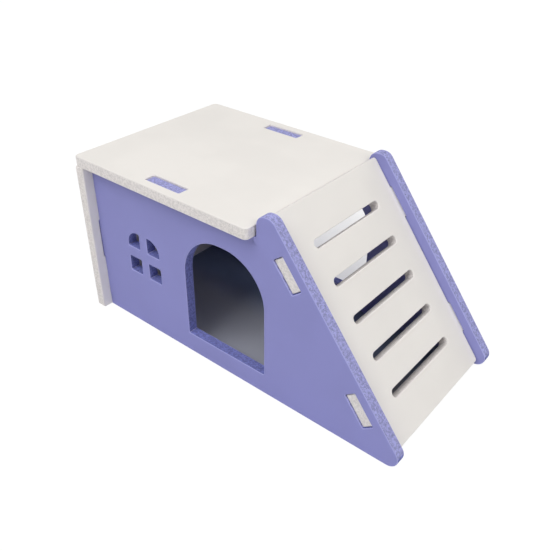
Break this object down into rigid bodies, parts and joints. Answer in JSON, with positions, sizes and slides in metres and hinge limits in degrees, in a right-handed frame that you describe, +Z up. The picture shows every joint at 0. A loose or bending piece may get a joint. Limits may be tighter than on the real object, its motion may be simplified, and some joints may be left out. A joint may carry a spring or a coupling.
{
  "type": "hamster hideout",
  "caption": "Slot-together board hideout for a small pet, with an arched doorway in each side, a pane window, a flat roof deck and a slotted climbing ramp.",
  "frame": {"origin": "middle of the footprint's bounding box, on the ground", "axes": "+X along the house from the end board to the foot of the ramp, +Y across it from the front side board to the back one, +Z up"},
  "size_m": [0.1734, 0.0908, 0.0865],
  "materials": {
    "lilac_board": "matte foamed board, speckled on the cut edges",
    "white_board": "matte foamed board, speckled on the cut edges"
  },
  "bodies": {
    "root": {"front_side_board": "lilac_board", "back_side_board": "lilac_board", "end_board": "white_board", "roof_board": "white_board", "ramp_board": "white_board"}
  },
  "joints": []
}
